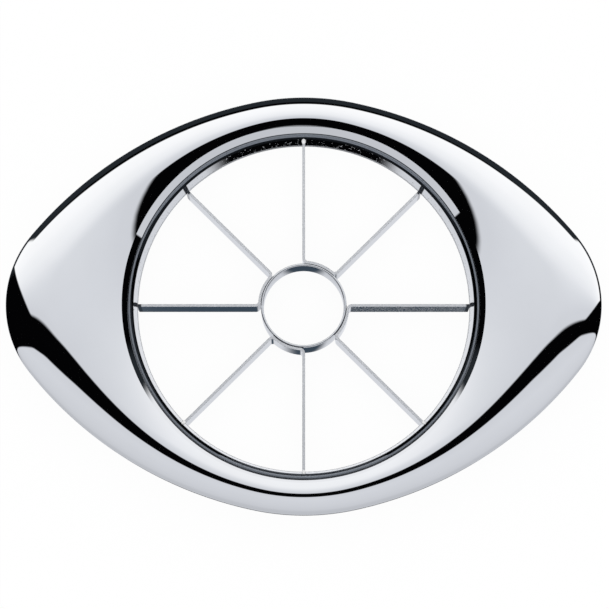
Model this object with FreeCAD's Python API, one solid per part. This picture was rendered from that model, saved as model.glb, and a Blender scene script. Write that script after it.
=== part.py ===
import FreeCAD, Part
import os
from math import asin, atan2, cos, hypot, pi, radians, sin, sqrt, tan

# Push-down apple slicer, all of stainless steel, in millimetres.
# Two pressed shells, welded round their edge, are the frame and its two handles.
# A short conical sleeve with a rolled collar lines the hole and carries the blades.
# Four V-shaped strips give eight blades, and each V's bend hugs the core ring.
# +Z is up, +X runs along the handles, and z = 0 is at the cutting edges.

Vector = FreeCAD.Vector
UP = Vector(0, 0, 1)
CENTRE = Vector(0, 0, 0)

# Frame outline: three tangent arcs in each quarter
overall_length = 180.0
overall_width = 128.6
back_arc_radius = 72.0
back_arc_half_angle = 12.0
tip_radius = 33.47

# Frame shells
frame_sheet = 0.8
side_crown_height = 2.6
tip_crown_height = 2.8
side_crown_run = 8.0
tip_crown_run = 14.0
lip_dip = 1.2
lip_dip_run = 19.7
lip_dip_exponent = 2.15
lip_flange_height = 2.97
lip_flange_width = 1.62
lip_bend_half_width = 0.25
belly_depth = 5.5
belly_run = 14.0

# Cutter sleeve, a shallow cone with a rolled collar
sleeve_foot_radius = 50.5
sleeve_taper = 14.0
sleeve_sheet = 0.8
sleeve_depth = 5.2
collar_roll_radius = 1.2
collar_flat_seen = 0.35

# Blades and core ring
strip_count = 4
strip_sheet = 0.8
strip_height = 9.3
strip_bend_radius = 1.3
blade_below_sleeve = 7.0
blade_grind_height = 0.8
core_bore_radius = 12.25
core_ring_sheet = 0.8
core_ring_grind_height = 1.6
cutting_edge_width = 0.2

# Fineness of the smooth skins
stations_round = 96
stations_across = 48

# Derived places
collar_top_z = blade_below_sleeve + sleeve_depth
roll_centre_z = collar_top_z - collar_roll_radius
core_ring_outer_radius = core_bore_radius + core_ring_sheet
blade_angle = 180.0 / strip_count
taper = radians(sleeve_taper)


def sleeve_bore(z):
    """Inner radius of the sleeve's conical wall at a height."""
    return sleeve_foot_radius + (z - blade_below_sleeve) * tan(taper)


def sleeve_outside(z):
    """Outer radius of the sleeve's conical wall at a height."""
    return sleeve_bore(z) + sleeve_sheet / cos(taper)


# The collar's roll touches the cone and the level rim
roll_centre_radius = sleeve_bore(roll_centre_z) + collar_roll_radius / cos(taper)
hole_radius = roll_centre_radius + collar_flat_seen
collar_radius = hole_radius + frame_sheet


class Outline:
    """The frame's lens shape seen from above, as three tangent arcs of the first quarter."""

    def __init__(self):
        lean = radians(back_arc_half_angle)
        back_y = overall_width / 2 - back_arc_radius
        join_x = back_arc_radius * sin(lean)
        join_y = back_y + back_arc_radius * cos(lean)
        tip_x = overall_length / 2 - tip_radius
        # The side arc touches the back arc at the join, and the tip arc
        to_tip_x, to_tip_y = tip_x - join_x, -join_y
        along = to_tip_x * sin(lean) + to_tip_y * cos(lean)
        gap_squared = to_tip_x ** 2 + to_tip_y ** 2
        side_radius = (tip_radius ** 2 - gap_squared) / (2 * (along + tip_radius))
        side_x = join_x - side_radius * sin(lean)
        side_y = join_y - side_radius * cos(lean)
        # Each arc: the angle about its own centre where it ends, its centre and its radius
        self.arcs = (
            (atan2(-side_y, tip_x - side_x), tip_x, 0.0, tip_radius),
            (pi / 2 - lean, side_x, side_y, side_radius),
            (pi, 0.0, back_y, back_arc_radius),
        )

    def reach(self, turn, inset=0.0):
        """Distance from the centre to the outline, or to a parallel inside it."""
        across, up = abs(cos(turn)), abs(sin(turn))
        for end_angle, x, y, radius in self.arcs:
            toward = x * across + y * up
            miss_squared = x ** 2 + y ** 2 - toward ** 2
            reach = toward + sqrt(max((radius - inset) ** 2 - miss_squared, 0.0))
            if atan2(reach * up - y, reach * across - x) <= end_angle + 1e-9:
                break
        return reach

    def depth(self, turn, distance):
        """How far inside the outline the point at this turn and distance lies."""
        point_x, point_y = distance * abs(cos(turn)), distance * abs(sin(turn))
        for end_angle, x, y, radius in self.arcs:
            if atan2(point_y - y, point_x - x) <= end_angle + 1e-9:
                break
        return radius - hypot(point_x - x, point_y - y)


outline = Outline()


def bulge(depth, height, run):
    """Height of a pressed skin: upright at its edge, level from run inwards."""
    left = 1 - min(max(depth, 0.0) / run, 1.0)
    return height * sqrt(max(1 - left ** 2, 0.0))


def dip(distance):
    """How far the upper skin sinks toward the hole before its lip bends down."""
    left = max(0.0, 1 - (distance - hole_radius) / lip_dip_run)
    return lip_dip * left ** lip_dip_exponent


def flange(distance, height, inset):
    """How far the skin drops over the lip's conical flange, with a blend where it bends."""
    steepness = lip_flange_height / lip_flange_width
    bend_distance = hole_radius + inset + (height - inset) / steepness
    past_bend = bend_distance - distance
    blend = lip_bend_half_width
    if abs(past_bend) < blend:
        return steepness * (past_bend + blend) ** 2 / (4 * blend)
    return steepness * max(past_bend, 0.0)


# The lip's flange stands on the collar
edge_z = collar_top_z + lip_flange_height + lip_dip - side_crown_height


def upper_skin_z(turn, distance, inset):
    toward_tips = cos(turn) ** 2
    lift = (tip_crown_height - side_crown_height) * toward_tips
    run = side_crown_run + (tip_crown_run - side_crown_run) * toward_tips
    depth = outline.depth(turn, distance) - inset
    crown = bulge(depth, side_crown_height + lift - inset, run - inset)
    return edge_z + crown - dip(distance) - flange(distance, lip_flange_height + lift, inset)


def lower_skin_z(turn, distance, inset):
    belly = bulge(outline.depth(turn, distance) - inset, belly_depth - inset, belly_run - inset)
    return edge_z - belly


def skin(height, inset, inner_radius):
    """Smooth closed ring surface from the outline, or a parallel inside it, to the hole."""
    across = [pi * step / stations_across for step in range(stations_across + 1)]
    rounds = [2 * pi * step / stations_round for step in range(stations_round + 1)]
    rings = []
    for place in across:
        ring = []
        for turn in rounds[:-1]:
            outer = outline.reach(turn, inset)
            distance = outer - (outer - inner_radius) * (1 - cos(place)) / 2
            ring.append(Vector(distance * cos(turn), distance * sin(turn),
                               height(turn, distance, inset)))
        curve = Part.BSplineCurve()
        curve.interpolate(Points=ring, PeriodicFlag=True, Parameters=rounds)
        rings.append(curve)
    rows = []
    for poles in zip(*[curve.getPoles() for curve in rings]):
        cross = Part.BSplineCurve()
        cross.interpolate(Points=list(poles), Parameters=across)
        rows.append(cross)
    surface = Part.BSplineSurface()
    surface.buildFromPolesMultsKnots(
        [row.getPoles() for row in rows],
        rings[0].getMultiplicities(), rows[0].getMultiplicities(),
        rings[0].getKnots(), rows[0].getKnots(), True, False, 3, 3)
    return surface


def pressed_shell(height, outer_skin_end, inner_skin_end):
    """One sheet of the frame, between its outer skin and the skin one sheet inside."""
    outer = skin(height, 0.0, outer_skin_end)
    inner = skin(height, frame_sheet, inner_skin_end)
    faces = [outer.toShape(), inner.toShape()]
    for place in (0.0, pi):
        rim = Part.makeRuledSurface(outer.vIso(place).toShape(), inner.vIso(place).toShape())
        faces.append(rim)
    shell = Part.Shell(faces)
    shell.sewShape()
    solid = Part.Solid(shell)
    if solid.Volume < 0:
        solid.reverse()
    return solid


def frame_upper_shell():
    """The top pressing, whose lip bends down to a flange that stands on the collar."""
    return pressed_shell(upper_skin_z, hole_radius, hole_radius + frame_sheet)


def frame_lower_shell():
    """The bottom pressing, which closes on the sleeve's wall under the collar."""
    belly_z = edge_z - belly_depth
    return pressed_shell(lower_skin_z, sleeve_outside(belly_z), sleeve_outside(belly_z + frame_sheet))


def half_plane(x, z):
    """Point of a section that is turned round the Z axis."""
    return Vector(x, 0, z)


def line(start, end):
    return Part.LineSegment(start, end).toShape()


def arc(start, middle, end):
    return Part.Arc(start, middle, end).toShape()


def turned(edges):
    """Solid made by turning a closed section round the Z axis."""
    return Part.Face(Part.Wire(edges)).revolve(CENTRE, UP, 360)


def cutter_sleeve():
    """Conical wall up to a collar that rolls outward to the frame."""
    inner, outer = collar_roll_radius, collar_roll_radius - sleeve_sheet

    def on_roll(radius, turn):
        return half_plane(roll_centre_radius - radius * cos(turn), roll_centre_z + radius * sin(turn))

    middle = (taper + pi / 2) / 2
    bore_foot = half_plane(sleeve_foot_radius, blade_below_sleeve)
    wall_foot = half_plane(sleeve_outside(blade_below_sleeve), blade_below_sleeve)
    rim_top = half_plane(collar_radius, collar_top_z)
    rim_under = half_plane(collar_radius, collar_top_z - sleeve_sheet)
    return turned([
        line(bore_foot, on_roll(inner, taper)),
        arc(on_roll(inner, taper), on_roll(inner, middle), on_roll(inner, pi / 2)),
        line(on_roll(inner, pi / 2), rim_top),
        line(rim_top, rim_under),
        line(rim_under, on_roll(outer, pi / 2)),
        arc(on_roll(outer, pi / 2), on_roll(outer, middle), on_roll(outer, taper)),
        line(on_roll(outer, taper), wall_foot),
        line(wall_foot, bore_foot),
    ])


def core_ring():
    """Round band whose lower edge is ground on the inside only."""
    top_in = half_plane(core_bore_radius, strip_height)
    top_out = half_plane(core_ring_outer_radius, strip_height)
    foot_out = half_plane(core_ring_outer_radius, 0)
    edge_in = half_plane(core_ring_outer_radius - cutting_edge_width, 0)
    grind_top = half_plane(core_bore_radius, core_ring_grind_height)
    return turned([
        line(top_in, top_out),
        line(top_out, foot_out),
        line(foot_out, edge_in),
        line(edge_in, grind_top),
        line(grind_top, top_in),
    ])


def polar(radius, angle, z=0.0):
    return Vector(radius * cos(angle), radius * sin(angle), z)


def strip_section(half_width, z):
    """Closed wire round a V strip: leg, bend, arc on the core ring, bend, leg."""
    middle_radius = core_ring_outer_radius + strip_sheet / 2
    spread = radians(blade_angle)
    # The bend's centre lies one bend radius to the side of its leg's centre line
    bend_distance = middle_radius + strip_bend_radius
    lead = asin(strip_bend_radius / bend_distance)
    leg_start = sqrt(bend_distance ** 2 - strip_bend_radius ** 2)
    edges = []
    leg_ends = []
    for side in (1, -1):
        ring_radius = middle_radius + side * half_width
        bend_radius = strip_bend_radius - side * half_width
        ring_ends = []
        for turn, sense in ((0.0, 1), (spread, -1)):
            offset = polar(side * half_width, turn + sense * pi / 2)
            centre = polar(bend_distance, turn + sense * lead, z)
            leg_end = polar(hole_radius, turn, z) + offset
            bend_start = polar(leg_start, turn, z) + offset
            bend_end = polar(ring_radius, turn + sense * lead, z)
            toward = (bend_start - centre).normalize() + (bend_end - centre).normalize()
            bend_middle = centre + toward.normalize() * bend_radius
            edges.append(line(leg_end, bend_start))
            edges.append(arc(bend_start, bend_middle, bend_end))
            leg_ends.append(leg_end)
            ring_ends.append(bend_end)
        edges.append(arc(ring_ends[0], polar(ring_radius, spread / 2, z), ring_ends[1]))
    edges.append(line(leg_ends[0], leg_ends[2]))
    edges.append(line(leg_ends[1], leg_ends[3]))
    return Part.Wire(Part.__sortEdges__(edges))


def sleeve_interior():
    """What a strip may fill: the sleeve's cone, and a cylinder below the sleeve's foot."""
    axis_foot = half_plane(0, 0)
    axis_head = half_plane(0, strip_height)
    cone_head = half_plane(sleeve_bore(strip_height), strip_height)
    cone_foot = half_plane(sleeve_foot_radius, blade_below_sleeve)
    foot = half_plane(sleeve_foot_radius, 0)
    return turned([
        line(axis_foot, axis_head),
        line(axis_head, cone_head),
        line(cone_head, cone_foot),
        line(cone_foot, foot),
        line(foot, axis_foot),
    ])


def blade_strip(index):
    """One V strip: two blades joined by a bend round the core ring, ground at the foot."""
    body_foot = strip_section(strip_sheet / 2, blade_grind_height)
    body_head = strip_section(strip_sheet / 2, strip_height)
    cutting_edge = strip_section(cutting_edge_width / 2, 0.0)
    body = Part.makeLoft([body_foot, body_head], True, True)
    ground = Part.makeLoft([cutting_edge, body_foot], True, True)
    strip = body.fuse(ground).common(sleeve_interior())
    strip.rotate(CENTRE, UP, 90.0 - blade_angle - index * 360.0 / strip_count)
    return strip


def nodes():
    yield "frame_upper_shell", frame_upper_shell()
    yield "frame_lower_shell", frame_lower_shell()
    yield "cutter_sleeve", cutter_sleeve()
    yield "core_ring", core_ring()
    for index in range(strip_count):
        yield f"blade_strip_{index + 1}", blade_strip(index)


os.makedirs("parts", exist_ok=True)
for name, shape in nodes():
    shape.exportStep(f"parts/{name}.step")
    print(name, shape.isValid(), len(shape.Solids), round(shape.Volume, 2), shape.BoundBox)
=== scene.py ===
import bpy
import bmesh
from math import asin, atan2, cos, degrees, hypot, pi, radians, sin, sqrt, tan
from mathutils import Matrix, Vector


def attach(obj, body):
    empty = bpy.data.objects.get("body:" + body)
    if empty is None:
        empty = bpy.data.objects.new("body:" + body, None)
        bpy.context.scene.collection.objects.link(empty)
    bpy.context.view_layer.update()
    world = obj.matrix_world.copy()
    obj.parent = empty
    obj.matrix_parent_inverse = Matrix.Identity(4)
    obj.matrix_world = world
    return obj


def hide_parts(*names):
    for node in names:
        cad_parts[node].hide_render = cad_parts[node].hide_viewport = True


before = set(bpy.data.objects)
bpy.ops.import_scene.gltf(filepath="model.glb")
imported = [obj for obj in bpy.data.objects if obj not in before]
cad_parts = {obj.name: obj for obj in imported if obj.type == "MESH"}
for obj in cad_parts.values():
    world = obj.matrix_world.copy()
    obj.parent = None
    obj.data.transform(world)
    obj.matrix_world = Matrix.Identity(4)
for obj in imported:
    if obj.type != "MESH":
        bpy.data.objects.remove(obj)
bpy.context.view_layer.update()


# Frame: two pressed stainless shells, joined edge to edge by a weld that is ground away.
# The upper one rises steeply from the outline, is level over the handles and dips to the
# hole, where its lip bends down to a flange on the collar; the lower one is a shallow belly.

MM = 0.001
HALF_LENGTH = 90.0
HALF_WIDTH = 64.3
BACK_ARC_RADIUS = 72.0
BACK_ARC_LEAN = radians(12.0)
TIP_RADIUS = 33.47
SHEET = 0.8
CROWN_AT_SIDES = 2.6
CROWN_AT_TIPS = 2.8
CROWN_RUN_AT_SIDES = 8.0
CROWN_RUN_AT_TIPS = 14.0
LIP_DIP = 1.2
LIP_DIP_RUN = 19.7
LIP_DIP_POWER = 2.15
FLANGE_HEIGHT = 2.97
FLANGE_WIDTH = 1.62
BELLY_DEPTH = 5.5
BELLY_RUN = 14.0

# The sleeve's sizes set the frame's hole
COLLAR_TOP = 12.2
SLEEVE_FOOT = 7.0
SLEEVE_FOOT_RADIUS = 50.5
SLEEVE_TAPER = radians(14.0)
COLLAR_ROLL = 1.2
COLLAR_FLAT = 0.35


def sleeve_bore(z):
    """Inner radius of the sleeve's conical wall."""
    return SLEEVE_FOOT_RADIUS + (z - SLEEVE_FOOT) * tan(SLEEVE_TAPER)


def sleeve_outside(z):
    """Outer radius of the same wall."""
    return sleeve_bore(z) + SHEET / cos(SLEEVE_TAPER)


ROLL_Z = COLLAR_TOP - COLLAR_ROLL
ROLL_RADIUS = sleeve_bore(ROLL_Z) + COLLAR_ROLL / cos(SLEEVE_TAPER)
HOLE_RADIUS = ROLL_RADIUS + COLLAR_FLAT
EDGE_Z = COLLAR_TOP + FLANGE_HEIGHT + LIP_DIP - CROWN_AT_SIDES
BELLY_Z = EDGE_Z - BELLY_DEPTH

# How many points the outer skin, the flange and the inner skin have across, and how many
# steps a ring takes round the hole
SKIN_STATIONS = 90
FLANGE_STATIONS = 6
INNER_STATIONS = 24
HOLE_STEPS = 480
ANGLE_SLACK = 1e-9


def outline_arcs():
    """The first quarter's arcs: end angle about the arc's own centre, centre, radius."""
    back_y = HALF_WIDTH - BACK_ARC_RADIUS
    join_x = BACK_ARC_RADIUS * sin(BACK_ARC_LEAN)
    join_y = back_y + BACK_ARC_RADIUS * cos(BACK_ARC_LEAN)
    tip_x = HALF_LENGTH - TIP_RADIUS
    to_tip_x = tip_x - join_x
    to_tip_y = -join_y
    along = to_tip_x * sin(BACK_ARC_LEAN) + to_tip_y * cos(BACK_ARC_LEAN)
    side_radius = (TIP_RADIUS ** 2 - to_tip_x ** 2 - to_tip_y ** 2) / (2 * (along + TIP_RADIUS))
    side_x = join_x - side_radius * sin(BACK_ARC_LEAN)
    side_y = join_y - side_radius * cos(BACK_ARC_LEAN)
    return ((atan2(-side_y, tip_x - side_x), tip_x, 0.0, TIP_RADIUS),
            (pi / 2 - BACK_ARC_LEAN, side_x, side_y, side_radius),
            (pi, 0.0, back_y, BACK_ARC_RADIUS))


ARCS = outline_arcs()


def outline_reach(turn, inset):
    """Distance from the centre to the outline, or to a parallel inside it."""
    across, up = abs(cos(turn)), abs(sin(turn))
    for end_angle, x, y, radius in ARCS:
        toward = x * across + y * up
        miss_squared = x ** 2 + y ** 2 - toward ** 2
        reach = toward + sqrt(max((radius - inset) ** 2 - miss_squared, 0.0))
        if atan2(reach * up - y, reach * across - x) <= end_angle + ANGLE_SLACK:
            break
    return reach


def outline_depth(turn, distance):
    """How far inside the outline a point lies."""
    point_x, point_y = distance * abs(cos(turn)), distance * abs(sin(turn))
    for end_angle, x, y, radius in ARCS:
        if atan2(point_y - y, point_x - x) <= end_angle + ANGLE_SLACK:
            break
    return radius - hypot(point_x - x, point_y - y)


def bulge(depth, height, run):
    """Height of a pressed skin: upright at its edge, level from run inwards."""
    left = 1 - min(max(depth, 0.0) / run, 1.0)
    return height * sqrt(max(1 - left ** 2, 0.0))


def flange_reach(turn, inset):
    """Distance from the centre to the crease above the lip's conical flange."""
    height = FLANGE_HEIGHT + (CROWN_AT_TIPS - CROWN_AT_SIDES) * cos(turn) ** 2
    return HOLE_RADIUS + inset + (height - inset) * FLANGE_WIDTH / FLANGE_HEIGHT


def flange_drop(turn, distance, inset):
    """How far the skin has dropped over the flange."""
    return max(flange_reach(turn, inset) - distance, 0.0) * FLANGE_HEIGHT / FLANGE_WIDTH


def upper_z(turn, distance, inset):
    """The crown, less the dip toward the hole and the flange."""
    toward_tips = cos(turn) ** 2
    lift = (CROWN_AT_TIPS - CROWN_AT_SIDES) * toward_tips
    run = CROWN_RUN_AT_SIDES + (CROWN_RUN_AT_TIPS - CROWN_RUN_AT_SIDES) * toward_tips
    depth = outline_depth(turn, distance) - inset
    crown = bulge(depth, CROWN_AT_SIDES + lift - inset, run - inset)
    dip = LIP_DIP * max(0.0, 1 - (distance - HOLE_RADIUS) / LIP_DIP_RUN) ** LIP_DIP_POWER
    return EDGE_Z + crown - dip - flange_drop(turn, distance, inset)


def lower_z(turn, distance, inset):
    """The belly, which hangs from the same edge."""
    depth = outline_depth(turn, distance) - inset
    return EDGE_Z - bulge(depth, BELLY_DEPTH - inset, BELLY_RUN - inset)


def finish_piece(name, bm, node, material, crisp_from=35.0):
    """Turns a bmesh in millimetres into a piece that stands for a node. Edges that bend by
    crisp_from degrees or more aren't shaded smooth."""
    bmesh.ops.scale(bm, vec=(MM, MM, MM), verts=bm.verts)
    bmesh.ops.recalc_face_normals(bm, faces=bm.faces)
    for face in bm.faces:
        face.smooth = True
    for edge in bm.edges:
        edge.smooth = len(edge.link_faces) == 2 and edge.calc_face_angle() < radians(crisp_from)
    mesh = bpy.data.meshes.new(name)
    bm.to_mesh(mesh)
    bm.free()
    piece = bpy.data.objects.new(name, mesh)
    bpy.context.scene.collection.objects.link(piece)
    mesh.materials.append(material)
    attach(piece, "root")
    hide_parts(node)
    return piece


def spun_line(points, steps, closed):
    """A line of (radius, height) points, spun once round the hole's axis."""
    bm = bmesh.new()
    verts = [bm.verts.new((radius, 0, z)) for radius, z in points]
    first = 0 if closed else 1
    edges = [bm.edges.new((verts[k - 1], verts[k])) for k in range(first, len(verts))]
    bmesh.ops.spin(bm, geom=verts + edges, axis=(0, 0, 1), cent=(0, 0, 0),
                   angle=2 * pi, steps=steps, use_merge=True)
    return bm


def pressing(name, node, skin_z, lip_radii, material, flange_stations=0):
    """One shell: its outer skin from the outline to the lip, with a flange where it has
    one, then its inner skin back again."""
    outer_stations = SKIN_STATIONS + flange_stations
    # Station k is spun at radius k + 1, and then takes its real place
    bm = spun_line([(k + 1.0, 0.0) for k in range(outer_stations + INNER_STATIONS)],
                   HOLE_STEPS, closed=False)
    for vert in bm.verts:
        station = round(hypot(vert.co.x, vert.co.y)) - 1
        turn = atan2(vert.co.y, vert.co.x)
        outside = station < outer_stations
        inset, lip_radius = (0.0, lip_radii[0]) if outside else (SHEET, lip_radii[1])
        end_radius = flange_reach(turn, inset) if flange_stations and outside else lip_radius
        if SKIN_STATIONS <= station < outer_stations:
            down = (station - SKIN_STATIONS + 1) / flange_stations
            distance = end_radius + (lip_radius - end_radius) * down
        else:
            inward = (station / (SKIN_STATIONS - 1) if outside
                      else 1 - (station - outer_stations) / (INNER_STATIONS - 1))
            # The stations lie closest together at the edge and at the lip
            edge_radius = outline_reach(turn, inset)
            distance = edge_radius - (edge_radius - end_radius) * (1 - cos(pi * inward)) / 2
        vert.co = (distance * cos(turn), distance * sin(turn), skin_z(turn, distance, inset))
    bmesh.ops.bridge_loops(bm, edges=[edge for edge in bm.edges if edge.is_boundary])
    return finish_piece(name, bm, node, material)


def linear(hex_colour):
    """An sRGB hex colour as Blender's linear RGBA."""
    parts = [int(hex_colour[i:i + 2], 16) / 255 for i in (1, 3, 5)]
    return [p / 12.92 if p <= 0.04045 else ((p + 0.055) / 1.055) ** 2.4 for p in parts] + [1.0]


def add_node(tree, kind, settings=(), inputs=(), links=()):
    """Adds a node, sets its properties and sockets, and links sockets into it."""
    node = tree.nodes.new(kind)
    for name, value in dict(settings).items():
        setattr(node, name, value)
    for name, value in dict(inputs).items():
        node.inputs[name].default_value = value
    for name, socket in dict(links).items():
        tree.links.new(socket, node.inputs[name])
    return node


def new_material(name):
    """A material with its node tree and its shader."""
    material = bpy.data.materials.new(name)
    material.use_nodes = True
    return material, material.node_tree, material.node_tree.nodes["Principled BSDF"]


def join_steel(tree, shader, tone, rough, bump):
    """Makes the shader a metal with this tone, roughness and relief."""
    shader.inputs["Metallic"].default_value = 1.0
    tree.links.new(tone.outputs[2], shader.inputs["Base Color"])
    tree.links.new(rough.outputs["Result"], shader.inputs["Roughness"])
    tree.links.new(bump.outputs["Normal"], shader.inputs["Normal"])


def tint_where(tree, shader, share, colour):
    """Blends the steel's colour toward another one where share is 1."""
    untinted = shader.inputs["Base Color"].links[0].from_socket
    tinted = add_node(tree, "ShaderNodeMix", {"data_type": "RGBA"}, {7: linear(colour)},
                      {0: share, 6: untinted})
    tree.links.new(tinted.outputs[2], shader.inputs["Base Color"])


def from_axis(tree, place):
    """How far a point lies from the hole's axis."""
    level = add_node(tree, "ShaderNodeVectorMath", {"operation": "MULTIPLY"},
                     {1: (1.0, 1.0, 0.0)}, {0: place})
    return add_node(tree, "ShaderNodeVectorMath", {"operation": "LENGTH"}, {},
                    {0: level.outputs[0]}).outputs["Value"]


# How far the dark line of painted shade in the joint reaches out over the flange, and over what width it
# fades
JOINT_SHADE_REACH = 0.12
JOINT_SHADE_FADE = 0.1


def buffed_steel():
    """18/10 sheet, ground and buffed on a cotton wheel: a crisp mirror with a trace of haze."""
    material, tree, shader = new_material("buffed_stainless_steel")
    place = add_node(tree, "ShaderNodeTexCoord").outputs["Object"]
    # Haze from the buffing wheel drifts over about 25 mm
    haze = add_node(tree, "ShaderNodeTexNoise", {},
                    {"Scale": 1 / (25 * MM), "Detail": 3.0, "Roughness": 0.6}, {"Vector": place})
    rough = add_node(tree, "ShaderNodeMapRange", {}, {"To Min": 0.004, "To Max": 0.016},
                     {"Value": haze.outputs["Fac"]})
    tone = add_node(tree, "ShaderNodeMix", {"data_type": "RGBA"},
                    {6: linear("#DFE0E1"), 7: linear("#E6E7E9")}, {0: haze.outputs["Fac"]})
    # The pressing leaves a waviness: nine waves to 50 mm, and about a micron deep
    wave = add_node(tree, "ShaderNodeTexNoise", {}, {"Scale": 9 / (50 * MM), "Detail": 1.0},
                    {"Vector": place})
    bump = add_node(tree, "ShaderNodeBump", {}, {"Strength": 0.1, "Distance": 0.01 * MM},
                    {"Height": wave.outputs["Fac"]})
    join_steel(tree, shader, tone, rough, bump)
    # A dark line of painted shade in the joint at the flange's foot
    joint_shade_radius = HOLE_RADIUS + JOINT_SHADE_REACH
    joint_shade = add_node(tree, "ShaderNodeMapRange", {},
                     {"From Min": (joint_shade_radius + JOINT_SHADE_FADE) * MM, "From Max": joint_shade_radius * MM},
                     {"Value": from_axis(tree, place)})
    tint_where(tree, shader, joint_shade.outputs["Result"], "#3A3E44")
    return material


BUFFED = buffed_steel()
pressing("frame_upper_pressing", "frame_upper_shell", upper_z,
         (HOLE_RADIUS, HOLE_RADIUS + SHEET), BUFFED, flange_stations=FLANGE_STATIONS)
pressing("frame_lower_pressing", "frame_lower_shell", lower_z,
         (sleeve_outside(BELLY_Z), sleeve_outside(BELLY_Z + SHEET)), BUFFED)


# Cutter sleeve: a short cone of stainless sheet, drawn out at its head into a collar that
# lies under the frame's lip and is welded to it. Its wall keeps the sheet's bright rolled
# face; the collar is painted near-black as shade, with a painted slate-grey reflection on its top.

COLLAR_RADIUS = HOLE_RADIUS + SHEET
EDGE_ROUND = 0.12
ROUND_STEPS = 3
ROLL_STEPS = 18
ROLL_INSIDE_STEPS = 8
# The roll is painted near-black as shade above this height, fading in over this much
ROLL_SHADE_Z = 11.2
ROLL_SHADE_FADE = 0.2
# A painted slate-grey reflection lies on the collar's top, down to these heights from the front to the back
RIM_REFLECTION_AT_FRONT = COLLAR_TOP - 0.9
RIM_REFLECTION_AT_SIDES = COLLAR_TOP - 0.02
RIM_REFLECTION_AT_BACK = COLLAR_TOP - 0.15
RIM_REFLECTION_FADE = 0.01
# Where along Y the painted reflection's lower edge leaves the sides' height, and where it
# reaches the front's and the back's
FRONT_BEGINS = -46.0
FRONT_REACHED = -50.0
BACK_BEGINS = 25.0
BACK_REACHED = 45.0
# Half the width of the painted shade on the wall beside the two legs aslant at the back, measured along X
LEG_SHADE_HALF_WIDTH = 0.9
LEG_SHADE_FADE = 0.3
FILED_BELOW = SLEEVE_FOOT + 0.75
FILED_FADE = 0.15


def rolled_steel(name, base, light, roughness, speck):
    """Rolled sheet: fine lines along the roll, small pits, and handling marks."""
    material, tree, shader = new_material(name)
    place = add_node(tree, "ShaderNodeTexCoord").outputs["Object"]
    # Rolling lines lie level, about 0.15 mm apart, drawn at 0.4 mm so that they show; along
    # the roll they change three times in 50 mm
    along = 3 / (50 * MM)
    stretched = add_node(tree, "ShaderNodeMapping", {}, {"Scale": (along, along, 1 / (0.4 * MM))},
                         {"Vector": place})
    lines = add_node(tree, "ShaderNodeTexNoise", {}, {"Scale": 1.0, "Detail": 4.0},
                     {"Vector": stretched.outputs["Vector"]})
    # Pits and dried-on marks about 0.6 mm across
    marks = add_node(tree, "ShaderNodeTexNoise", {},
                     {"Scale": 1 / (0.625 * MM), "Detail": 2.0, "Roughness": 0.7}, {"Vector": place})
    spots = add_node(tree, "ShaderNodeMapRange", {},
                     {"From Min": 0.45, "From Max": 0.7, "To Max": speck}, {"Value": marks.outputs["Fac"]})
    tone = add_node(tree, "ShaderNodeMix", {"data_type": "RGBA"},
                    {6: linear(base), 7: linear(light)}, {0: spots.outputs["Result"]})
    rough = add_node(tree, "ShaderNodeMapRange", {},
                     {"To Min": roughness * 0.8, "To Max": roughness * 1.3},
                     {"Value": lines.outputs["Fac"]})
    bump = add_node(tree, "ShaderNodeBump", {}, {"Strength": 0.3, "Distance": 0.01 * MM},
                    {"Height": lines.outputs["Fac"]})
    join_steel(tree, shader, tone, rough, bump)
    return material, tree, shader, place


def matt_where(tree, shader, share, roughness):
    """Blends the steel's roughness toward a matt one where share is 1."""
    rolled = shader.inputs["Roughness"].links[0].from_socket
    rough = add_node(tree, "ShaderNodeMix", {}, {3: roughness}, {0: share, 2: rolled})
    tree.links.new(rough.outputs[0], shader.inputs["Roughness"])


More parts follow.
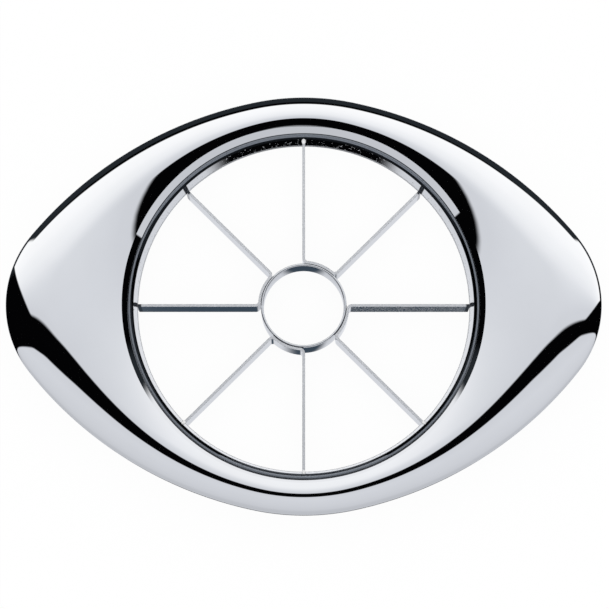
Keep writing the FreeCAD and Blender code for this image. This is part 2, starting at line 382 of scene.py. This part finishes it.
def sleeve_steel():
    """Bright wall with a sprinkle of weld spatter, a roll painted near-black as shade with a
    painted slate-grey reflection on its top, painted shade beside two legs, and a filed foot."""
    material, tree, shader, place = rolled_steel("rolled_stainless_sleeve", "#E4E5E6", "#F0F0F1",
                                                 roughness=0.05, speck=0.6)
    parts = add_node(tree, "ShaderNodeSeparateXYZ", {}, {}, {"Vector": place})
    # Painted shade: the roll is nearly black
    roll_shade = add_node(tree, "ShaderNodeMapRange", {},
                    {"From Min": ROLL_SHADE_Z * MM, "From Max": (ROLL_SHADE_Z + ROLL_SHADE_FADE) * MM},
                    {"Value": parts.outputs["Z"]})
    tint_where(tree, shader, roll_shade.outputs["Result"], "#1C1F23")
    # Painted shade: the wall beside the two legs that lie aslant at the back is darkened
    across = add_node(tree, "ShaderNodeMath", {"operation": "ABSOLUTE"}, {}, {0: parts.outputs["X"]})
    aslant = add_node(tree, "ShaderNodeMath", {"operation": "SUBTRACT"}, {},
                      {0: across.outputs[0], 1: parts.outputs["Y"]})
    beside = add_node(tree, "ShaderNodeMath", {"operation": "ABSOLUTE"}, {}, {0: aslant.outputs[0]})
    wall_leg_shade = add_node(tree, "ShaderNodeMapRange", {},
                      {"From Min": (LEG_SHADE_HALF_WIDTH + LEG_SHADE_FADE) * MM,
                       "From Max": LEG_SHADE_HALF_WIDTH * MM}, {"Value": beside.outputs[0]})
    tint_where(tree, shader, wall_leg_shade.outputs["Result"], "#25282D")
    # Painted reflection: the top is painted a slate grey and made matt: a line at the sides, a band
    # that widens toward the back, and the whole roll over the last few millimetres at the front
    rim_reflection_back = add_node(tree, "ShaderNodeMapRange", {},
                          {"From Min": BACK_BEGINS * MM, "From Max": BACK_REACHED * MM,
                           "To Min": RIM_REFLECTION_AT_SIDES * MM, "To Max": RIM_REFLECTION_AT_BACK * MM},
                          {"Value": parts.outputs["Y"]})
    rim_reflection_to = add_node(tree, "ShaderNodeMapRange", {},
                        {"From Min": FRONT_REACHED * MM, "From Max": FRONT_BEGINS * MM,
                         "To Min": RIM_REFLECTION_AT_FRONT * MM},
                        {"Value": parts.outputs["Y"], "To Max": rim_reflection_back.outputs["Result"]})
    above = add_node(tree, "ShaderNodeMath", {"operation": "SUBTRACT"}, {},
                     {0: parts.outputs["Z"], 1: rim_reflection_to.outputs["Result"]})
    rim_reflection = add_node(tree, "ShaderNodeMapRange", {}, {"From Max": RIM_REFLECTION_FADE * MM},
                     {"Value": above.outputs[0]})
    tint_where(tree, shader, rim_reflection.outputs["Result"], "#80858C")
    matt_where(tree, shader, rim_reflection.outputs["Result"], 0.3)
    # Spatter is about 0.4 mm across: the highest peaks of a noise with three to 2 mm
    spatter = add_node(tree, "ShaderNodeTexNoise", {}, {"Scale": 3 / (2 * MM), "Detail": 1.0},
                       {"Vector": place})
    spots = add_node(tree, "ShaderNodeMapRange", {}, {"From Min": 0.66, "From Max": 0.71},
                     {"Value": spatter.outputs["Fac"]})
    matt_where(tree, shader, spots.outputs["Result"], 0.6)
    foot = add_node(tree, "ShaderNodeMapRange", {},
                    {"From Min": (FILED_BELOW + FILED_FADE) * MM, "From Max": FILED_BELOW * MM},
                    {"Value": parts.outputs["Z"]})
    matt_where(tree, shader, foot.outputs["Result"], 0.5)
    return material


def arc_points(radius, z, arc_radius, start, end, count):
    """Points of a section along an arc, from one angle to another in degrees."""
    turns = [radians(start + (end - start) * k / count) for k in range(count + 1)]
    return [(radius + arc_radius * cos(turn), z + arc_radius * sin(turn)) for turn in turns]


LEAN = degrees(SLEEVE_TAPER)
sleeve_section = (
    [(sleeve_outside(SLEEVE_FOOT), SLEEVE_FOOT), (SLEEVE_FOOT_RADIUS, SLEEVE_FOOT)]
    + arc_points(ROLL_RADIUS, ROLL_Z, COLLAR_ROLL, 180 - LEAN, 90, ROLL_STEPS)
    + arc_points(COLLAR_RADIUS - EDGE_ROUND, COLLAR_TOP - EDGE_ROUND, EDGE_ROUND, 90, 0, ROUND_STEPS)
    + [(COLLAR_RADIUS, COLLAR_TOP - SHEET)]
    + arc_points(ROLL_RADIUS, ROLL_Z, COLLAR_ROLL - SHEET, 90, 180 - LEAN, ROLL_INSIDE_STEPS)
)
finish_piece("cutter_sleeve_cone", spun_line(sleeve_section, HOLE_STEPS, closed=True),
             "cutter_sleeve", sleeve_steel())


# Core ring: a short piece of stainless tube in the middle of the blades.
# It is ground sharp at the foot, on the inside only, and spot-welded to the strips.

CORE_BORE_RADIUS = 12.25
CORE_OUTER_RADIUS = 13.05
STRIP_HEIGHT = 9.3
CORE_GRIND_HEIGHT = 1.6
CUTTING_EDGE = 0.2
CORE_STEPS = 160
SEAM_WIDTH = 0.17
SEAM_WIDTH_FADE = 0.1
SEAM_DEPTH = 0.15
SEAM_DEPTH_FADE = 0.05


def tube_steel():
    """Bright drawn tube, with a dark seam along its head wherever a strip's bend hugs it."""
    material, tree, shader, place = rolled_steel("drawn_stainless_tube", "#CBCDD0", "#E4E5E6",
                                                 roughness=0.08, speck=0.7)
    parts = add_node(tree, "ShaderNodeSeparateXYZ", {}, {}, {"Vector": place})
    # The bends hug the second half of each quarter of the ring
    turn = add_node(tree, "ShaderNodeMath", {"operation": "ARCTAN2"}, {},
                    {0: parts.outputs["Y"], 1: parts.outputs["X"]})
    in_quarter = add_node(tree, "ShaderNodeMath", {"operation": "WRAP"}, {1: pi / 2, 2: 0.0},
                          {0: turn.outputs[0]})
    hugged = add_node(tree, "ShaderNodeMath", {"operation": "GREATER_THAN"}, {1: pi / 4},
                      {0: in_quarter.outputs[0]})
    seam_radius = CORE_OUTER_RADIUS - SEAM_WIDTH
    outer = add_node(tree, "ShaderNodeMapRange", {},
                     {"From Min": (seam_radius - SEAM_WIDTH_FADE) * MM, "From Max": seam_radius * MM},
                     {"Value": from_axis(tree, place), "To Max": hugged.outputs[0]})
    seam_foot = STRIP_HEIGHT - SEAM_DEPTH
    seam = add_node(tree, "ShaderNodeMapRange", {},
                    {"From Min": (seam_foot - SEAM_DEPTH_FADE) * MM, "From Max": seam_foot * MM},
                    {"Value": parts.outputs["Z"], "To Max": outer.outputs["Result"]})
    tint_where(tree, shader, seam.outputs["Result"], "#2E3136")
    return material


round_z = STRIP_HEIGHT - EDGE_ROUND
core_section = (
    arc_points(CORE_OUTER_RADIUS - EDGE_ROUND, round_z, EDGE_ROUND, 0, 90, ROUND_STEPS)
    + arc_points(CORE_BORE_RADIUS + EDGE_ROUND, round_z, EDGE_ROUND, 90, 180, ROUND_STEPS)
    + [(CORE_BORE_RADIUS, CORE_GRIND_HEIGHT + EDGE_ROUND), (CORE_BORE_RADIUS, CORE_GRIND_HEIGHT),
       (CORE_OUTER_RADIUS - CUTTING_EDGE, 0.0), (CORE_OUTER_RADIUS, 0.0)]
)
finish_piece("core_tube_ring", spun_line(core_section, CORE_STEPS, closed=True),
             "core_ring", tube_steel())


# Blade strips: four lengths of hard stainless strip, each bent to a V round the core
# ring. Both faces are ground at the foot to the cutting edge. The ends are welded to the
# sleeve's wall; some ends are darkened with painted shade, and the other beads are painted white as a
# highlight.

STRIP_HALF = 0.4
STRIP_BEND = 1.3
STRIP_SPREAD = radians(45.0)
BLADE_GRIND_HEIGHT = 0.8
EDGE_BREAK = 0.05
BEAD_LENGTH = 2.0
BEAD_WIDTH = 1.3
BEAD_Z = STRIP_HEIGHT + 1.4
BEAD_REACH = sleeve_bore(BEAD_Z) - 0.15
# Painted shade darkens the legs that end this far aside or farther, and no farther
# than this in front, and this far inward from the radius of the wall's foot
SHADED_END_ASIDE = 10.0
SHADED_END_IN_FRONT = 10.0
SHADED_END_LEG_FADE = 2.0
SHADED_END_INWARD = 0.9
SHADED_END_INWARD_FADE = 0.4
# The grained leg starts here to the right, and this is half the width that holds it
GRAINED_FROM = 15.0
GRAINED_HALF_WIDTH = 2.0
GRAINED_FADE = 1.0
# How far under the strips' top edge the satin is full, and how far above it the beads' painted highlight
SATIN_DEPTH = 0.06
SATIN_FADE = 0.06
BEAD_HIGHLIGHT_LIFT = 0.06
BEAD_HIGHLIGHT_FADE = 0.04
# How many steps the middle line takes along a leg, round a bend and along half the hug
LEG_STEPS = 8
BEND_STEPS = 16
HUG_STEPS = 7


def strip_stations():
    """The strip's middle line: (share of the leg, point, direction to the V's inside)."""
    middle = CORE_OUTER_RADIUS + STRIP_HALF
    bend_distance = middle + STRIP_BEND
    lead = asin(STRIP_BEND / bend_distance)
    leg_start = sqrt(bend_distance ** 2 - STRIP_BEND ** 2)
    half = [(1 - k / LEG_STEPS, Vector((leg_start, 0)), Vector((0, 1))) for k in range(LEG_STEPS + 1)]
    centre = Vector((leg_start, STRIP_BEND))
    for k in range(1, BEND_STEPS + 1):
        out = radians(-90) - (pi / 2 - lead) * k / BEND_STEPS
        way = Vector((cos(out), sin(out)))
        half.append((0.0, centre + way * STRIP_BEND, -way))
    for k in range(1, HUG_STEPS + 1):
        way_angle = lead + (STRIP_SPREAD / 2 - lead) * k / HUG_STEPS
        way = Vector((cos(way_angle), sin(way_angle)))
        half.append((0.0, way * middle, way))
    twice_cos, twice_sin = cos(STRIP_SPREAD), sin(STRIP_SPREAD)

    def mirrored(v):
        """The other half is the mirror image about the V's axis."""
        return Vector((twice_cos * v.x + twice_sin * v.y, twice_sin * v.x - twice_cos * v.y))

    return half + [(share, mirrored(point), mirrored(way)) for share, point, way in half[-2::-1]]


def bent_strip(index, material):
    """One V strip, its section carried along its middle line."""
    stations = strip_stations()
    head_reach = sleeve_bore(STRIP_HEIGHT)
    # Once round the section: half width, height, and how far out the leg's end stands
    side = [(STRIP_HALF - EDGE_BREAK, STRIP_HEIGHT, head_reach),
            (STRIP_HALF, STRIP_HEIGHT - EDGE_BREAK, head_reach),
            (STRIP_HALF, SLEEVE_FOOT, SLEEVE_FOOT_RADIUS),
            (STRIP_HALF, BLADE_GRIND_HEIGHT, SLEEVE_FOOT_RADIUS),
            (CUTTING_EDGE / 2, 0.0, SLEEVE_FOOT_RADIUS)]
    section = side + [(-width, z, reach) for width, z, reach in reversed(side)]
    section.append(section[0])
    # The grid is one unit long and wide: each of its points stands for a station along the
    # middle line and a corner of the section
    bm = bmesh.new()
    bmesh.ops.create_grid(bm, x_segments=len(stations) - 1, y_segments=len(section) - 1, size=0.5)
    turn = radians(45 - 90 * index)
    leg_start = stations[LEG_STEPS][1].x
    for vert in bm.verts:
        share, point, way = stations[round((vert.co.x + 0.5) * (len(stations) - 1))]
        width, z, reach = section[round((vert.co.y + 0.5) * (len(section) - 1))]
        leg_end = sqrt(reach ** 2 - width ** 2)
        spot = point + way * width + point.normalized() * share * (leg_end - leg_start)
        vert.co = (spot.x * cos(turn) - spot.y * sin(turn), spot.x * sin(turn) + spot.y * cos(turn), z)
    bmesh.ops.remove_doubles(bm, verts=bm.verts, dist=0.0001)
    bmesh.ops.holes_fill(bm, edges=[edge for edge in bm.edges if edge.is_boundary], sides=0)
    # A weld bead sits in the corner between each leg's head and the sleeve's wall
    for leg_turn in (turn, turn + STRIP_SPREAD):
        place = (Matrix.Rotation(leg_turn, 4, "Z") @ Matrix.Translation((BEAD_REACH, 0, BEAD_Z))
                 @ Matrix.Diagonal((BEAD_LENGTH / 2, BEAD_WIDTH / 2, BEAD_LENGTH / 2, 1)))
        bmesh.ops.create_uvsphere(bm, u_segments=48, v_segments=24, radius=1.0, matrix=place)
    strip = finish_piece(f"bent_blade_strip_{index + 1}", bm, f"blade_strip_{index + 1}",
                         material, crisp_from=9.0)
    # The strips aren't mirrored anywhere, so that the polished lip stays clean
    strip.visible_glossy = False
    return strip


def blade_steel():
    """Cold-rolled strip: satin heads, painted shade at some ends and painted white highlights on the other
    beads, one grained leg.
    """
    material, tree, shader, place = rolled_steel("ground_stainless_blade", "#CDCFD2", "#E6E7E8",
                                                 roughness=0.06, speck=0.7)
    parts = add_node(tree, "ShaderNodeSeparateXYZ", {}, {}, {"Vector": place})
    smooth = {"interpolation_type": "SMOOTHSTEP"}
    # Painted shade darkens some of the ends. Each range here ends at the share before it,
    # which multiplies the two
    across = add_node(tree, "ShaderNodeMath", {"operation": "ABSOLUTE"}, {}, {0: parts.outputs["X"]})
    aside = add_node(tree, "ShaderNodeMapRange", smooth,
                     {"From Min": (SHADED_END_ASIDE - SHADED_END_LEG_FADE) * MM, "From Max": SHADED_END_ASIDE * MM},
                     {"Value": across.outputs[0]})
    shaded_legs = add_node(tree, "ShaderNodeMapRange", smooth,
                      {"From Min": -(SHADED_END_IN_FRONT + SHADED_END_LEG_FADE) * MM,
                       "From Max": -SHADED_END_IN_FRONT * MM},
                      {"Value": parts.outputs["Y"], "To Max": aside.outputs["Result"]})
    end_shade_radius = SLEEVE_FOOT_RADIUS - SHADED_END_INWARD
    shaded_end = add_node(tree, "ShaderNodeMapRange", smooth,
                          {"From Min": (end_shade_radius - SHADED_END_INWARD_FADE) * MM,
                           "From Max": end_shade_radius * MM},
                          {"Value": from_axis(tree, place), "To Max": shaded_legs.outputs["Result"]})
    tint_where(tree, shader, shaded_end.outputs["Result"], "#3A3D42")
    # The leg on the right keeps the blasted grain of the strip: dull grains 0.5 mm across
    beyond_core = add_node(tree, "ShaderNodeMapRange", smooth,
                           {"From Min": (GRAINED_FROM - GRAINED_FADE) * MM, "From Max": GRAINED_FROM * MM},
                           {"Value": parts.outputs["X"]})
    off_line = add_node(tree, "ShaderNodeMath", {"operation": "ABSOLUTE"}, {}, {0: parts.outputs["Y"]})
    right_leg = add_node(tree, "ShaderNodeMapRange", smooth,
                         {"From Min": (GRAINED_HALF_WIDTH + GRAINED_FADE) * MM,
                          "From Max": GRAINED_HALF_WIDTH * MM},
                         {"Value": off_line.outputs[0], "To Max": beyond_core.outputs["Result"]})
    grains = add_node(tree, "ShaderNodeTexNoise", {}, {"Scale": 1 / (0.5 * MM), "Detail": 1.0},
                      {"Vector": place})
    dull = add_node(tree, "ShaderNodeMapRange", {}, {"From Min": 0.42, "From Max": 0.56},
                    {"Value": grains.outputs["Fac"], "To Max": right_leg.outputs["Result"]})
    matt_where(tree, shader, dull.outputs["Result"], 0.6)
    # The head was sheared and then brushed along, which leaves it satin
    satin_z = STRIP_HEIGHT - SATIN_DEPTH
    head = add_node(tree, "ShaderNodeMapRange", smooth,
                    {"From Min": (satin_z - SATIN_FADE) * MM, "From Max": satin_z * MM},
                    {"Value": parts.outputs["Z"]})
    matt_where(tree, shader, head.outputs["Result"], 0.38)
    # Painted highlight: the beads above it are painted white and nearly non-metal, but not on the legs with
    # painted shade
    bead_highlight_z = STRIP_HEIGHT + BEAD_HIGHLIGHT_LIFT
    bead = add_node(tree, "ShaderNodeMapRange", smooth,
                    {"From Min": (bead_highlight_z - BEAD_HIGHLIGHT_FADE) * MM, "From Max": bead_highlight_z * MM},
                    {"Value": parts.outputs["Z"]})
    bead_highlight = add_node(tree, "ShaderNodeMapRange", {}, {"To Max": 0.0},
                     {"Value": shaded_legs.outputs["Result"], "To Min": bead.outputs["Result"]})
    tint_where(tree, shader, bead_highlight.outputs["Result"], "#FAFAFA")
    metal = add_node(tree, "ShaderNodeMapRange", {}, {"To Min": 1.0, "To Max": 0.1},
                     {"Value": bead_highlight.outputs["Result"]})
    tree.links.new(metal.outputs["Result"], shader.inputs["Metallic"])
    return material


BLADE_STEEL = blade_steel()
for strip_index in range(4):
    bent_strip(strip_index, BLADE_STEEL)


# Table: matt white card. The camera sees it as pure white with a faint shadow, and the
# polished metal doesn't see it at all.

TABLE_HALF = 2000.0
# The table lies a hair under the cutting edges
TABLE_DROP = 0.1
# How much of the card's real shading the camera sees
SHADOW_SHARE = 0.05


def white_table():
    bm = bmesh.new()
    bmesh.ops.create_grid(bm, x_segments=1, y_segments=1, size=TABLE_HALF * MM)
    mesh = bpy.data.meshes.new("table")
    bm.to_mesh(mesh)
    bm.free()
    table = bpy.data.objects.new("table", mesh)
    table.location = (0, 0, -TABLE_DROP * MM)
    bpy.context.scene.collection.objects.link(table)
    table.visible_glossy = False
    material, tree, shader = new_material("matt_white_card")
    shader.inputs["Base Color"].default_value = linear("#F3F3F3")
    shader.inputs["Roughness"].default_value = 1.0
    shader.inputs["Specular IOR Level"].default_value = 0.0
    white = add_node(tree, "ShaderNodeEmission", {}, {"Color": linear("#FFFFFF"), "Strength": 1.0})
    shaded = add_node(tree, "ShaderNodeBsdfDiffuse", {}, {"Color": linear("#FFFFFF")})
    seen = add_node(tree, "ShaderNodeMixShader", {}, {0: SHADOW_SHARE},
                    {1: white.outputs[0], 2: shaded.outputs[0]})
    ray = add_node(tree, "ShaderNodeLightPath")
    both = add_node(tree, "ShaderNodeMixShader", {}, {},
                    {0: ray.outputs["Is Camera Ray"], 1: shader.outputs["BSDF"], 2: seen.outputs["Shader"]})
    tree.links.new(both.outputs["Shader"], tree.nodes["Material Output"].inputs["Surface"])
    mesh.materials.append(material)


white_table()


# Studio: even white light for everything matt. What the polished metal mirrors is a black
# room with a large white panel over the back and another over the front. The wall at the
# back is charcoal; the floor is pale, but for a dark wedge at the front with slate in it.

# Grey of the panels and the floor by angle round the X axis: 0 is overhead, minus is the back
PANEL_GREYS = (
    (-180, 205), (-95, 245), (-48, 250), (-40, 250), (-26, 246), (-18, 237), (-15.5, 230), (-13, 218),
    (-10, 207), (-4, 205), (4, 210), (12, 207), (20, 205), (28, 202), (38, 199), (48, 191), (65, 187),
    (95, 190), (140, 200), (180, 205),
)
# A part of the room lies past all its edges. An edge is a normal, and how far along it a
# direction has to point for the part to begin and for it to be full: an edge that is a
# plane through the middle of the room goes from just under nought to just over it
UP = (0, 0, 1)
DOWN = (0, 0, -1)
TO_BACK = (0, 1, 0)
BACK_PANEL = (
    ((0.034, 0.988, -0.15), -0.006, 0.006),
    ((0.476, 0.879, 0.017), -0.006, 0.006),
    ((-0.201, 0.979, -0.03), -0.006, 0.006),
    (UP, 0.24, 0.3),
)
BACK_GAP = (
    ((-0.056, 0.731, -0.68), -0.02, 0.02),
    ((0.635, 0.767, -0.1), -0.02, 0.02),
    ((-0.635, 0.767, -0.1), -0.02, 0.02),
)
FRONT_PANEL = (
    ((0.054, -0.998, 0.038), -0.006, 0.006),
    ((0.277, -0.952, 0.133), -0.006, 0.006),
    ((-0.13, -0.984, 0.122), -0.006, 0.006),
    (UP, -0.5, -0.48),
)
FLOOR = ((DOWN, 0.58, 0.6),)
FRONT_WEDGE = (((-0.766, -0.643, 0.0), -0.08, 0.08), ((0.766, -0.643, 0.0), -0.08, 0.08))
FLOOR_AT_BACK = ((TO_BACK, 0.44, 0.46), (DOWN, 0.72, 0.76))
SLATE_FLOOR = FRONT_WEDGE + ((DOWN, 0.84, 0.9),)
CHARCOAL_WALL = ((TO_BACK, 0.35, 0.45), (DOWN, -0.62, -0.57))
# Polished steel gives back this share of the light
STEEL_RETURNS = 0.76


def studio_world():
    world = bpy.data.worlds.new("studio")
    bpy.context.scene.world = world
    world.use_nodes = True
    tree = world.node_tree
    tree.nodes.clear()
    way = add_node(tree, "ShaderNodeTexCoord").outputs["Generated"]
    parts = add_node(tree, "ShaderNodeSeparateXYZ", {}, {}, {"Vector": way})

    def share_of(edges, *gaps):
        """1 where a direction meets a part of the room: past its edges, outside its gaps."""
        share = None
        for normal, begins, full in edges:
            toward = add_node(tree, "ShaderNodeVectorMath", {"operation": "DOT_PRODUCT"},
                              {1: Vector(normal).normalized()}, {0: way})
            links = {"Value": toward.outputs["Value"]}
            if share is not None:
                links["To Max"] = share
            share = add_node(tree, "ShaderNodeMapRange", {"interpolation_type": "SMOOTHSTEP"},
                             {"From Min": begins, "From Max": full}, links).outputs["Result"]
        for gap in gaps:
            share = add_node(tree, "ShaderNodeMapRange", {}, {"To Max": 0.0},
                             {"Value": share_of(gap), "To Min": share}).outputs["Result"]
        return share

    back = share_of(BACK_PANEL, BACK_GAP)
    floor = share_of(FLOOR, FRONT_WEDGE, FLOOR_AT_BACK)
    panels = add_node(tree, "ShaderNodeMath", {"operation": "MAXIMUM"}, {},
                      {0: back, 1: share_of(FRONT_PANEL)})
    lit = add_node(tree, "ShaderNodeMath", {"operation": "MAXIMUM"}, {},
                   {0: panels.outputs[0], 1: floor})

    forward = add_node(tree, "ShaderNodeMath", {"operation": "MULTIPLY"}, {1: -1.0},
                       {0: parts.outputs["Y"]})
    angle = add_node(tree, "ShaderNodeMath", {"operation": "ARCTAN2"}, {},
                     {0: forward.outputs[0], 1: parts.outputs["Z"]})
    along = add_node(tree, "ShaderNodeMapRange", {}, {"From Min": -pi, "From Max": pi},
                     {"Value": angle.outputs[0]})
    ramp = add_node(tree, "ShaderNodeValToRGB", {}, {}, {"Fac": along.outputs["Result"]})
    stops = ramp.color_ramp.elements
    while len(stops) < len(PANEL_GREYS):
        stops.new(0.5)
    for stop, (degrees_round, grey) in zip(stops, PANEL_GREYS):
        # The darker the grey, the cooler its light
        cool = min(5, (255 - grey) // 8)
        stop.position = (degrees_round + 180) / 360
        stop.color = linear("#%02X%02X%02X" % (grey - cool // 2, grey, grey + cool))
    wall = add_node(tree, "ShaderNodeMix", {"data_type": "RGBA"},
                    {6: linear("#030304"), 7: linear("#22262A")}, {0: share_of(CHARCOAL_WALL)})
    dark = add_node(tree, "ShaderNodeMix", {"data_type": "RGBA"}, {7: linear("#3A4652")},
                    {0: share_of(SLATE_FLOOR), 6: wall.outputs[2]})
    room = add_node(tree, "ShaderNodeMix", {"data_type": "RGBA"}, {},
                    {0: lit.outputs[0], 6: dark.outputs[2], 7: ramp.outputs["Color"]})
    mirrored = add_node(tree, "ShaderNodeBackground", {}, {"Strength": 1 / STEEL_RETURNS},
                        {"Color": room.outputs[2]})
    plain = add_node(tree, "ShaderNodeBackground", {}, {"Color": linear("#FFFFFF"), "Strength": 1.0})
    ray = add_node(tree, "ShaderNodeLightPath")
    mixed = add_node(tree, "ShaderNodeMixShader", {}, {},
                     {0: ray.outputs["Is Glossy Ray"], 1: plain.outputs[0], 2: mirrored.outputs[0]})
    add_node(tree, "ShaderNodeOutputWorld", {}, {}, {"Surface": mixed.outputs["Shader"]})


studio_world()


# Camera: a long lens on a stand over the table, 79 degrees above the front edge and 0.66 m
# from the collar's centre, which looks almost straight down into the hole.

CAMERA_PLACE = (0.0, -125.9, 660.1)
CAMERA_TARGET = (0.0, 0.0, COLLAR_TOP)
LENS_LENGTH = 128.9
SENSOR_WIDTH = 36.0
FARTHEST_SEEN = 20000.0
# The view's width, and how far left of its middle and above it the hole's centre falls, all
# in pixels
VIEW_WIDTH = 609
HOLE_LEFT_BY = 0.8
HOLE_UP_BY = 0.9


def look_down_camera():
    data = bpy.data.cameras.new("camera")
    data.lens = LENS_LENGTH
    data.sensor_width = SENSOR_WIDTH
    data.clip_end = FARTHEST_SEEN * MM
    data.shift_x = HOLE_LEFT_BY / VIEW_WIDTH
    data.shift_y = -HOLE_UP_BY / VIEW_WIDTH
    camera = bpy.data.objects.new("camera", data)
    place = Vector(CAMERA_PLACE) * MM
    aim = Vector(CAMERA_TARGET) * MM - place
    camera.location = place
    camera.rotation_euler = aim.to_track_quat("-Z", "Y").to_euler()
    bpy.context.scene.collection.objects.link(camera)
    bpy.context.scene.camera = camera


look_down_camera()
bpy.context.scene.view_settings.view_transform = "Standard"
